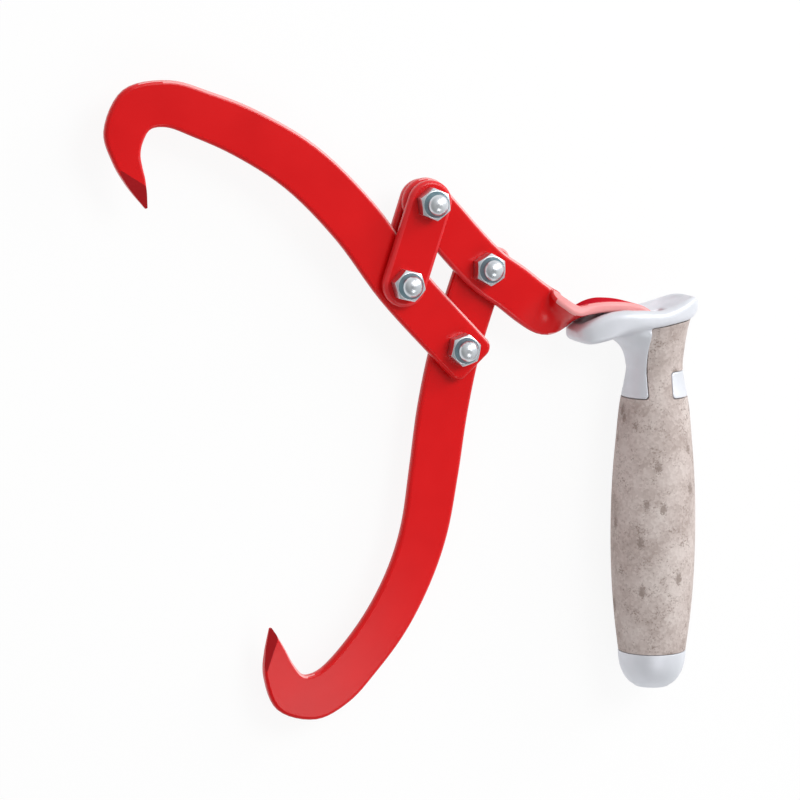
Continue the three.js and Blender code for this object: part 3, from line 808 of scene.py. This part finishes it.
# %% Links
link_width = 20.5 * mm
link_steps = 64
span = pivots["B"] - pivots["A"]
half_step = math.pi / link_steps
front_link = set_down("front_link_pressed", bpy.ops.mesh.primitive_circle_add, vertices=link_steps,
                      radius=link_width / 2, fill_type="NGON", location=pivots["A"],
                      rotation=(0, 0, math.atan2(span.y, span.x) + half_step))
edit(front_link)
pick("VERT", lambda vertex: (vertex.co - pivots["A"]).dot(span) > 0)
bpy.ops.transform.translate(value=span)
leave_edit()
thicken(front_link)
soften_rims(front_link)
drill(front_link, pivots["A"], pivots["B"])
smooth_shade(front_link)
back_link = copy_of(front_link, "back_link_pressed", (0, 0, -layer_pitch))
shift(front_link, (0, 0, layer_pitch))
dress(front_link, (powder_coat, thin_coat), "red_powder_coat", "links", "front_link")
dress(back_link, (powder_coat, thin_coat), "red_powder_coat", "links", "back_link")

# %% [markdown]
# Round pieces come off a lathe. A profile is drawn by extruding one corner from point to point, and it is then
# spun round the axis. Its doubles are merged and its normals recalculated, which closes the poles.

# %% Helpers for turned pieces
def turned(name, profile, centre, axis, steps):
    """Spins a profile of points about an axis. Its ends lie on the axis, or meet and close the profile."""
    piece = set_down(name, bpy.ops.mesh.primitive_plane_add, size=mm, location=profile[0])
    edit(piece)
    bpy.ops.mesh.select_mode(type="VERT")
    bpy.ops.mesh.merge(type="CENTER")
    for before, after in zip(profile, profile[1:]):
        bpy.ops.mesh.extrude_vertices_move(TRANSFORM_OT_translate={"value": after - before})
    bpy.ops.mesh.select_all(action="SELECT")
    bpy.ops.mesh.spin(steps=steps, angle=2 * math.pi, center=centre, axis=axis)
    bpy.ops.mesh.select_all(action="SELECT")
    bpy.ops.mesh.remove_doubles(threshold=mm / 500)
    bpy.ops.mesh.normals_make_consistent(inside=False)
    leave_edit()
    return piece


def lathed(name, profile, steps=64):
    """A piece turned about the Z axis, from a profile of radii and heights."""
    points = [Vector((radius, 0, height)) for radius, height in profile]
    return turned(name, points, (0, 0, 0), (0, 0, 1), steps)


def quarter_arc(base, radius, height, steps):
    """Points [radius, height] of a dome, from its foot at the base height up to its crown on the axis."""
    angles = [math.radians(90 * step / steps) for step in range(steps)]
    side = [[radius * math.cos(angle), base + height * math.sin(angle)] for angle in angles]
    return [*side, [0, base + height]]


print("A dome in 4 steps has", len(quarter_arc(0, 1, 1, 4)), "points")

# %% [markdown]
# A dome lock nut is a hexagon with its corners turned down, a collar crimped over a nylon ring, and a dome that
# covers the bolt's end. The hexagon is a six sided cylinder, and a cone cuts its corners, as the die does. The
# collar and the dome are turned. One nut is made here, and each pivot gets a copy of it later.

# %% Dome nut
across_flats = 13 * mm
corner_radius = across_flats / math.sqrt(3)
hex_bevel_radius = 6.2 * mm
hex_bevel_height = 0.8 * mm
nut_height = 6.5 * mm
collar_radius = 6 * mm
collar_height = 1.6 * mm
dome_radius = 4.9 * mm
dome_height = 3.6 * mm
dome_wall = 0.8 * mm
bore_radius = 4.3 * mm
overrun = 1 * mm
groove_start = 0.1 * mm
groove_share = 0.35
edge_break = 0.15 * mm


def hexagon(name, height):
    """A hexagon that stands on z = 0, with the corners of its upper face turned down."""
    piece = set_down(name, bpy.ops.mesh.primitive_cylinder_add, vertices=6, radius=corner_radius, depth=height,
                     location=(0, 0, height / 2))
    slope = hex_bevel_height / (corner_radius - hex_bevel_radius)
    skirt = across_flats
    low = height - (skirt - hex_bevel_radius) * slope
    profile = [[0, low - skirt], [skirt, low - skirt], [skirt, low], [hex_bevel_radius, height], [0, height]]
    combine(piece, lathed("cone", profile, 96), "INTERSECT")
    return piece


collar_top = nut_height + collar_height
outside = [
    [0, nut_height / 2], [collar_radius, nut_height / 2], [collar_radius, nut_height],
    *quarter_arc(collar_top, dome_radius, dome_height, 14),
]
inside = [
    [0, -overrun], [bore_radius, -overrun], [bore_radius, collar_top - overrun],
    *quarter_arc(collar_top - overrun, bore_radius - dome_wall / 2, dome_height, 6),
]
nut = hexagon("dome_nut", nut_height)
combine(nut, lathed("dome", outside), "UNION")
combine(nut, lathed("bore", inside), "DIFFERENCE")
break_edges(nut, edge_break, 2, 40)
smooth_shade(nut)


def in_groove(face):
    centre = face.calc_center_median()
    return (nut_height + groove_start < centre.z < collar_top + dome_height * groove_share
            and face.normal.z > 0 and centre.xy.length > bore_radius)


for plating in (zinc_plate, groove_shade_zinc):
    nut.data.materials.append(plating)
edit(nut)
# painted shade in the groove round the dome
coat_faces(nut, groove_shade_zinc, in_groove)
leave_edit()
print("Nut of", across_flats / mm, "mm across flats has", len(nut.data.polygons), "faces")

# %% [markdown]
# Behind, each bolt has a hexagon head that bears on the lowest bar, and a shank that ends inside its nut. The
# two pivots with a front link have one more layer to pass, so their shanks are longer by one layer. Each nut
# stands at the turn that the photograph shows.

# %% Bolts
bolt_radius = 4 * mm
head_height = 5.3 * mm
shank_chamfer = 0.8 * mm
seat_play = 0.1 * mm
nut_turns = {"A": 7, "B": 16, "C": 0, "D": -12}
head_turn = 10
bodies = {"A": "links", "B": "links", "C": "handle", "D": "upper_hook"}
back_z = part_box("lower_jaw")[0].z
shank_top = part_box("front_link")[1].z + nut_height + collar_height + seat_play - back_z
shank = [[0, -head_height / 2], [bolt_radius, -head_height / 2], [bolt_radius, shank_top - shank_chamfer],
         [bolt_radius - shank_chamfer, shank_top], [0, shank_top]]
bolt = hexagon("pivot_bolt", head_height)
edit(bolt)
bpy.ops.transform.resize(value=(1, 1, -1), center_override=(0, 0, 0))
bpy.ops.mesh.normals_make_consistent(inside=False)
leave_edit()
combine(bolt, lathed("shank", shank, 48), "UNION")
break_edges(bolt, edge_break, 2, 40)

for letter, pivot in pivots.items():
    label = letter.lower()
    passes_link = letter in "AB"
    front_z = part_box("front_link" if passes_link else "upper_jaw")[1].z
    nut_seat = (pivot.x, pivot.y, front_z + seat_play)
    dome_nut = copy_of(nut, "dome_nut_" + label + "_forged", nut_seat, nut_turns[letter])
    dress(dome_nut, (zinc_plate, groove_shade_zinc), "zinc_plate", bodies[letter], "dome_nut_" + label)
    head_seat = (pivot.x, pivot.y, back_z - seat_play)
    pivot_bolt = copy_of(bolt, "pivot_bolt_" + label + "_forged", head_seat, head_turn)
    if not passes_link:
        edit(pivot_bolt)
        pick("VERT", lambda vertex: vertex.co.z > front_z)
        bpy.ops.transform.translate(value=(0, 0, -layer_pitch))
        leave_edit()
    smooth_shade(pivot_bolt)
    dress(pivot_bolt, (zinc_plate,), "zinc_plate", bodies[letter], "pivot_bolt_" + label)
bpy.data.objects.remove(nut)
bpy.data.objects.remove(bolt)

# %% [markdown]
# The grip is turned cork on a cast core. Its profile swells from a waist under the head to a full palm and
# draws in again to the cap, and all of it is turned about one axis that runs along Y.

# %% Grip profile
grip_radius = 19.6 * mm
grip_top = 26 * mm
grip_bottom = 181 * mm
grip_shares = [
    [0, 0.84], [0.032, 0.775], [0.058, 0.738], [0.097, 0.694], [0.142, 0.663], [0.187, 0.71], [0.232, 0.782],
    [0.27, 0.829], [0.361, 0.896], [0.452, 0.956], [0.542, 0.99], [0.632, 1], [0.722, 0.99], [0.813, 0.956],
    [0.903, 0.896], [1, 0.8],
]
grip_axis = Vector((grip_axis_x, 0, middle_z))
core_sides = 48


def grip_point(radius, drop):
    """A point at a radius from the grip's axis, in the plane of the jaws, and so far below pivot C."""
    return Vector((grip_axis_x + radius, pivots["C"].y - drop, middle_z))


def grip_turned(name, profile, steps=96):
    return turned(name, [grip_point(radius, drop) for radius, drop in profile], grip_axis, (0, 1, 0), steps)


def grip_body(name):
    """The grip's whole turned form, which the sleeve, the strap and the window plate are cut from."""
    length = grip_bottom - grip_top
    side = [Vector((wide * grip_radius, grip_top + along * length, 0)) for along, wide in grip_shares]
    outline = [[point.x, point.y] for point in smooth_line(side, 4)]
    return grip_turned(name, [[0, grip_top], *outline, [0, grip_bottom]])


print("Grip is", round((grip_bottom - grip_top) / mm), "mm long without its cap")

# %% [markdown]
# The head is one casting: a saddle that the hand rests under, a strap down the front of the grip, a small plate
# let into its back, and a core that runs through the sleeve. Seams between the casting and the cork are as
# fine as a hair line, so both are cut by the same blocks, one larger by the play of the seam.

# %% Blocks that cut the seams
seam_play = 0.3 * mm
seam_corner = 1.5 * mm
strap_offset = 8.2 * mm
strap_top = 31 * mm
window_offset = 3 * mm
window_top = 50 * mm
neck_bottom = 62 * mm
saddle_top = 16 * mm
block_reach = grip_radius * 2


def seam_block(name, left, right, top, bottom):
    """A block square through the grip, with its corners rounded as seen from the front."""
    low = grip_point(left, bottom)
    high = grip_point(right, top)
    block = set_down(name, bpy.ops.mesh.primitive_cube_add, size=1, location=(low + high) / 2,
                     scale=(high.x - low.x, high.y - low.y, grip_radius * 3))
    edit(block)
    pick("EDGE", lambda edge: abs((edge.verts[0].co - edge.verts[1].co).z) > grip_radius)
    bpy.ops.mesh.bevel(offset=seam_corner, segments=5, affect="EDGES")
    leave_edit()
    return block


def strap_block(play):
    top = strap_top - saddle_top
    return seam_block("strap_block", -block_reach, play - strap_offset, top, neck_bottom + play)


def window_block(play):
    top = window_top - play
    return seam_block("window_block", window_offset - play, block_reach, top, neck_bottom + play)


print("Seams are", seam_play / mm, "mm wide")

# %% [markdown]
# The saddle swoops from a low tip under the bar, over the hand's web, to a raised back rim. It is drawn as a
# ring that is extruded from place to place along X and resized at each. The ring is a square whose corners
# have been smoothed until it is as full as the casting, between a square and a circle.

# %% Helpers that draw a form through rings
saddle_length = 61.5 * mm
saddle_rear = 20 * mm
saddle_depth = 36 * mm
saddle_height = 20 * mm
saddle_shares = [
    [0, 0.68, 0.84, 0.36], [0.03, 0.56, 0.94, 0.56], [0.09, 0.42, 1, 0.72], [0.2, 0.255, 0.94, 0.85],
    [0.32, 0.2, 0.82, 0.95], [0.48, 0.225, 0.7, 1], [0.63, 0.245, 0.64, 1], [0.77, 0.13, 0.58, 0.92],
    [0.88, 0.01, 0.52, 0.75], [0.955, 0, 0.4, 0.5], [1, 0.125, 0.275, 0.2],
]
thinnest_share = 0.08
narrowest_share = 0.1
ring_steps = 4
ring_cuts = 7
ring_smoothing = 3


def draw_rings(piece, rings, half=1):
    """Fits a flat face of this half size to the first ring, and extrudes it through all the others.
    A ring is its centre and its half sizes."""
    first, first_size = rings[0]
    edit(piece)
    bpy.ops.transform.resize(value=(first_size[0], first_size[1] / half, first_size[2] / half),
                             center_override=(0, 0, 0))
    bpy.ops.transform.translate(value=first)
    for (centre, size), (next_centre, next_size) in zip(rings, rings[1:]):
        bpy.ops.mesh.extrude_region_move(TRANSFORM_OT_translate={"value": next_centre - centre})
        growth = [after / before for before, after in zip(size, next_size)]
        bpy.ops.transform.resize(value=growth, center_override=next_centre)
    bpy.ops.mesh.select_all(action="SELECT")
    bpy.ops.mesh.normals_make_consistent(inside=False)
    leave_edit()


def saddle(name, shares, drop=0.0):
    """A form along the saddle. A row of its shares is a place along it, its top, its bottom and its width."""
    rings = []
    for along, top, bottom, wide in smooth_line([Vector(row) for row in shares], ring_steps):
        height = max(bottom - top, thinnest_share) * saddle_height / 2
        centre = grip_point(saddle_rear - saddle_length + along * saddle_length,
                            saddle_top + saddle_height * (top + bottom) / 2 + drop)
        rings.append([centre, (1, height, max(wide, narrowest_share) * saddle_depth / 2)])
    piece = set_down(name, bpy.ops.mesh.primitive_circle_add, vertices=4, radius=math.sqrt(2),
                     rotation=(0, math.pi / 2, 0))
    edit(piece)
    bpy.ops.transform.rotate(value=math.pi / 4, orient_axis="X", center_override=(0, 0, 0))
    bpy.ops.mesh.subdivide(number_cuts=ring_cuts)
    bpy.ops.mesh.vertices_smooth(factor=0.5, repeat=ring_smoothing)
    bpy.ops.mesh.edge_face_add()
    leave_edit()
    draw_rings(piece, rings, max(vertex.co.y for vertex in piece.data.vertices))
    return piece


print("Saddle of", len(saddle_shares), "rows, in", ring_steps, "rings from each to the next")

# %% [markdown]
# Under the saddle the strap flares out of it in one sweep, as a casting does where two walls meet. The flare is
# drawn by the same helper, from an ellipse that narrows as it goes down. Strap, window plate and core are then
# joined to the saddle.

# %% Handle head
flare_shares = [
    [-0.11, 1.44, 0.8], [0, 1.42, 0.86], [0.06, 1.3, 0.85], [0.11, 1.15, 0.82], [0.18, 0.95, 0.78],
    [0.28, 0.8, 0.73], [0.4, 0.72, 0.69], [0.55, 0.67, 0.663],
]
core_radius = 9.5 * mm
core_step = 70 * mm
shaft_radius = 7 * mm


def flare(name):
    """The strap's upper part. A row of its shares is a place down it, its length and its depth."""
    rings = []
    for down, long, deep in smooth_line([Vector(row) for row in flare_shares], ring_steps):
        centre = grip_point(0, strap_top + down * (neck_bottom - strap_top))
        rings.append([centre, (long * grip_radius, 1, deep * grip_radius)])
    piece = set_down(name, bpy.ops.mesh.primitive_circle_add, vertices=96, radius=1, fill_type="NGON",
                     rotation=(math.pi / 2, 0, 0))
    draw_rings(piece, rings)
    return piece


core_top = saddle_top + saddle_height / 2
core = [
    [0, core_top], [core_radius, core_top], [core_radius, core_step], [shaft_radius, core_step + core_radius],
    [shaft_radius, grip_bottom - seam_play], [0, grip_bottom - seam_play],
]
strap = grip_body("strap")
combine(strap, flare("flare"), "UNION")
combine(strap, strap_block(0), "INTERSECT")
window = grip_body("window")
combine(window, window_block(0), "INTERSECT")
handle_head = saddle("handle_head_cast", saddle_shares)
for tool in (strap, window, grip_turned("core", core, core_sides)):
    combine(handle_head, tool, "UNION")
print("Casting before its hollows has", len(handle_head.data.polygons), "faces")

# %% [markdown]
# The saddle's top is dished for the bar, a pocket in the dish lets the bar down into the core, and the bar has
# its own close slot there. The whole casting is then remeshed finely.

# %% Hollows of the head
trough_top_share = -0.6
trough_shares = [
    [0.05, 0.66, 0.3], [0.12, 0.56, 0.5], [0.22, 0.4, 0.64], [0.34, 0.36, 0.69], [0.48, 0.38, 0.7],
    [0.62, 0.4, 0.7], [0.76, 0.33, 0.64], [0.86, 0.2, 0.54], [0.93, 0.08, 0.42], [1, -0.1, 0.3],
]
pocket_front = 5 * mm
pocket_rear = 6 * mm
pocket_width = 15 * mm
pocket_floor = 37 * mm
tang_play = 0.3 * mm
cast_grain = 0.5 * mm

trough = saddle("trough", [[along, trough_top_share, bottom, wide] for along, bottom, wide in trough_shares])
combine(handle_head, trough, "DIFFERENCE")
pocket_middle = grip_point((pocket_rear - pocket_front) / 2, pocket_floor / 2)
pocket = set_down("pocket", bpy.ops.mesh.primitive_cube_add, size=1, location=pocket_middle,
                  scale=(pocket_rear + pocket_front, pocket_floor, pocket_width))
combine(handle_head, pocket, "DIFFERENCE")
slot = draw_strip("slot", bar_pairs(tang_play), plate + 2 * tang_play, bar_cuts)
combine(handle_head, slot, "DIFFERENCE")
finish_with(handle_head, "REMESH", mode="VOXEL", voxel_size=cast_grain)
print("Remeshed casting has", len(handle_head.data.polygons), "faces")

# %% [markdown]
# Smoothing the fine mesh a little gives every edge the small round that a mould leaves. The saddle gets more of
# it, and so does the web between saddle and strap, in patches that shrink, so that it runs out gently.

# %% Smoothing of the casting
smooth_floor_share = 0.6
saddle_smoothing = 14
web_left = -26 * mm
web_bottom = 46 * mm
web_top = 26 * mm
web_step = 1.2 * mm
web_patches = 4
web_smoothing = 20

edit(handle_head)
saddle_floor = grip_point(0, saddle_top + saddle_height * smooth_floor_share).y
pick("VERT", lambda vertex: vertex.co.y > saddle_floor)
bpy.ops.mesh.vertices_smooth(factor=0.5, repeat=saddle_smoothing)
web_low = grip_point(web_left, web_bottom)
web_high = grip_point(-strap_offset - web_step, web_top)
for patch in range(web_patches):
    inset = patch * web_step
    pick("VERT", lambda vertex: web_low.x + inset < vertex.co.x < web_high.x - inset
         and web_low.y + inset < vertex.co.y < web_high.y - inset)
    bpy.ops.mesh.vertices_smooth(factor=0.5, repeat=web_smoothing)
leave_edit()
finish_with(handle_head, "SMOOTH", factor=0.5, iterations=4)
smooth_shade(handle_head, 60)
dress(handle_head, (cast_aluminium,), "cast_aluminium", "handle", "handle_head")

# %% [markdown]
# The sleeve is the same turned body with the core's bore through it. The strap, the plate and the saddle are
# cut out of it with the play of the seam, so that the cork fits round them.

# %% Cork sleeve
bore_top = grip_top - seam_play
bore_bottom = grip_bottom + seam_play
bore = [
    [0, bore_top], [core_radius + seam_play, bore_top], [core_radius + seam_play, core_step],
    [shaft_radius + seam_play, core_step + core_radius], [shaft_radius + seam_play, bore_bottom],
    [0, bore_bottom],
]
grip = grip_body("grip_cork")
for tool in (grip_turned("bore", bore, core_sides), strap_block(seam_play), window_block(seam_play),
             saddle("flange", saddle_shares), saddle("flange", saddle_shares, seam_play)):
    combine(grip, tool, "DIFFERENCE")
smooth_shade(grip)
dress(grip, (cork,), "cork_composite", "handle", "grip")

# %% [markdown]
# The cap closes the sleeve's lower end. It is turned, drawn in to a small flat, and it is held by a screw that
# sits in a recess in that flat.

# %% End cap
cap_radius = 15.8 * mm
cap_length = 17 * mm
cap_flat_radius = 8 * mm
cap_edge = 0.4 * mm
screw_head_radius = 3.6 * mm
screw_play = 0.3 * mm
screw_recess = 3.2 * mm
screw_hole = 2.3 * mm
cap_shares = [[0, 1], [0.17, 0.99], [0.4, 0.95], [0.62, 0.87], [0.84, 0.72]]

cap_top = grip_bottom + seam_play
cap_bottom = grip_bottom + cap_length
side = [Vector((wide * cap_radius, cap_top + down * (cap_bottom - cap_top), 0)) for down, wide in cap_shares]
side = smooth_line([*side, Vector((cap_flat_radius, cap_bottom, 0))], 5)
recess_radius = screw_head_radius + screw_play
end_cap = grip_turned("end_cap_cast", [
    [screw_hole, cap_top], *[[point.x, point.y] for point in side], [recess_radius, cap_bottom],
    [recess_radius, cap_bottom - screw_recess], [screw_hole, cap_bottom - screw_recess], [screw_hole, cap_top],
])
break_edges(end_cap, cap_edge, 3, 50)
smooth_shade(end_cap)
dress(end_cap, (cast_aluminium,), "cast_aluminium", "handle", "end_cap")

# %% [markdown]
# A pale floor carries the tool and its shadow. Seen directly it is white, and for light it stays a pale matt
# surface. From below it lets the view through, so that the back of the tool can be looked at as well.

# %% Floor
floor_size = 4.0
floor_gap = 0.05 * mm
floor_white = 0.9
white_floor, tree, here = new_material("white_paper_floor")
paper = node(tree, "ShaderNodeBsdfDiffuse", values={"Color": linear("#F4F4F4")})
shine = node(tree, "ShaderNodeEmission", values={"Strength": 1.0})
rays = node(tree, "ShaderNodeLightPath")
seen = node(tree, "ShaderNodeMath", {0: rays.outputs["Is Camera Ray"], 1: rays.outputs["Is Glossy Ray"]},
            operation="MAXIMUM")
seen = node(tree, "ShaderNodeMath", {0: seen.outputs["Value"], 1: rays.outputs["Is Transmission Ray"]},
            operation="MAXIMUM")
share = node(tree, "ShaderNodeMath", {0: seen.outputs["Value"]}, {1: floor_white}, operation="MULTIPLY")
white = node(tree, "ShaderNodeMixShader",
             {"Fac": share.outputs["Value"], 1: paper.outputs["BSDF"], 2: shine.outputs["Emission"]})
side_seen = node(tree, "ShaderNodeNewGeometry")
clear = node(tree, "ShaderNodeBsdfTransparent")
both = node(tree, "ShaderNodeMixShader",
            {"Fac": side_seen.outputs["Backfacing"], 1: white.outputs["Shader"], 2: clear.outputs["BSDF"]})
node(tree, "ShaderNodeOutputMaterial", {"Surface": both.outputs["Shader"]})
floor = set_down("floor", bpy.ops.mesh.primitive_plane_add, size=floor_size, location=(0, 0, -floor_gap))
floor.data.materials.append(white_floor)
print("Floor of", floor_size, "m")

# %% [markdown]
# Three soft lamps light the tool: a broad one above, a key from the right, and a small panel near it, low in
# the view. The walls of the room are white up to the height of a cove. Its ceiling is darker away from the
# lamps and has a dark patch overhead, which lets gloss and plating show their form. The level is plain: a
# colour renders about as it is written, so the tool looks right under other light too.

# %% Lamps and world
def lamp(name, direction, distance, size, power):
    """A square lamp that shines on the tool from a direction."""
    way = Vector(direction).normalized()
    bpy.ops.object.light_add(type="AREA", location=pivots["C"] + way * distance,
                             rotation=way.to_track_quat("Z", "Y").to_euler())
    light = bpy.context.object
    light.name = name
    light.data.size = size
    light.data.energy = power
    light.visible_camera = False


lamp("softbox", (0.34, 0.42, 0.84), distance=1.5, size=0.7, power=9)
lamp("key_lamp", (0.78, 0.5, 0.35), distance=1.5, size=0.6, power=7.5)
lamp("low_panel", (0.1, -0.577, 0.811), distance=0.555, size=0.15, power=0.24)

bright_side = Vector((0.7, 0.55, 0.45)).normalized()
overhead = Vector((0.14, -0.08, 0.98)).normalized()
room_dark = 0.35
room_bright = 0.9
horizon = 0.06
wall_top = 0.35
patch_edge = 0.86
patch_middle = 0.97
patch_shade = 0.45
world = bpy.data.worlds.new("studio")
bpy.context.scene.world = world
world.use_nodes = True
tree = world.node_tree
tree.nodes.clear()
way = node(tree, "ShaderNodeTexCoord").outputs["Generated"]
facing = node(tree, "ShaderNodeVectorMath", {0: way}, {1: bright_side}, operation="DOT_PRODUCT")
ceiling = node(tree, "ShaderNodeMapRange", {"Value": facing.outputs["Value"]},
               {"From Min": -0.5, "To Min": room_dark, "To Max": room_bright},
               interpolation_type="SMOOTHSTEP")
height = node(tree, "ShaderNodeSeparateXYZ", {"Vector": way})
level = node(tree, "ShaderNodeMapRange", {"Value": height.outputs["Z"], "To Max": ceiling.outputs["Result"]},
             {"From Min": horizon, "From Max": wall_top, "To Min": 1.0}, interpolation_type="SMOOTHSTEP")
over = node(tree, "ShaderNodeVectorMath", {0: way}, {1: overhead}, operation="DOT_PRODUCT")
patch = node(tree, "ShaderNodeMapRange", {"Value": over.outputs["Value"]},
             {"From Min": patch_edge, "From Max": patch_middle, "To Min": 1.0, "To Max": patch_shade},
             interpolation_type="SMOOTHSTEP")
strength = node(tree, "ShaderNodeMath", {0: level.outputs["Result"], 1: patch.outputs["Result"]},
                operation="MULTIPLY")
room = node(tree, "ShaderNodeBackground", {"Strength": strength.outputs["Value"]}, {"Color": (1, 1, 1, 1)})
node(tree, "ShaderNodeOutputWorld", {"Surface": room.outputs["Background"]})
bpy.context.scene.view_settings.view_transform = "Standard"
print("Three lamps and a plain room")
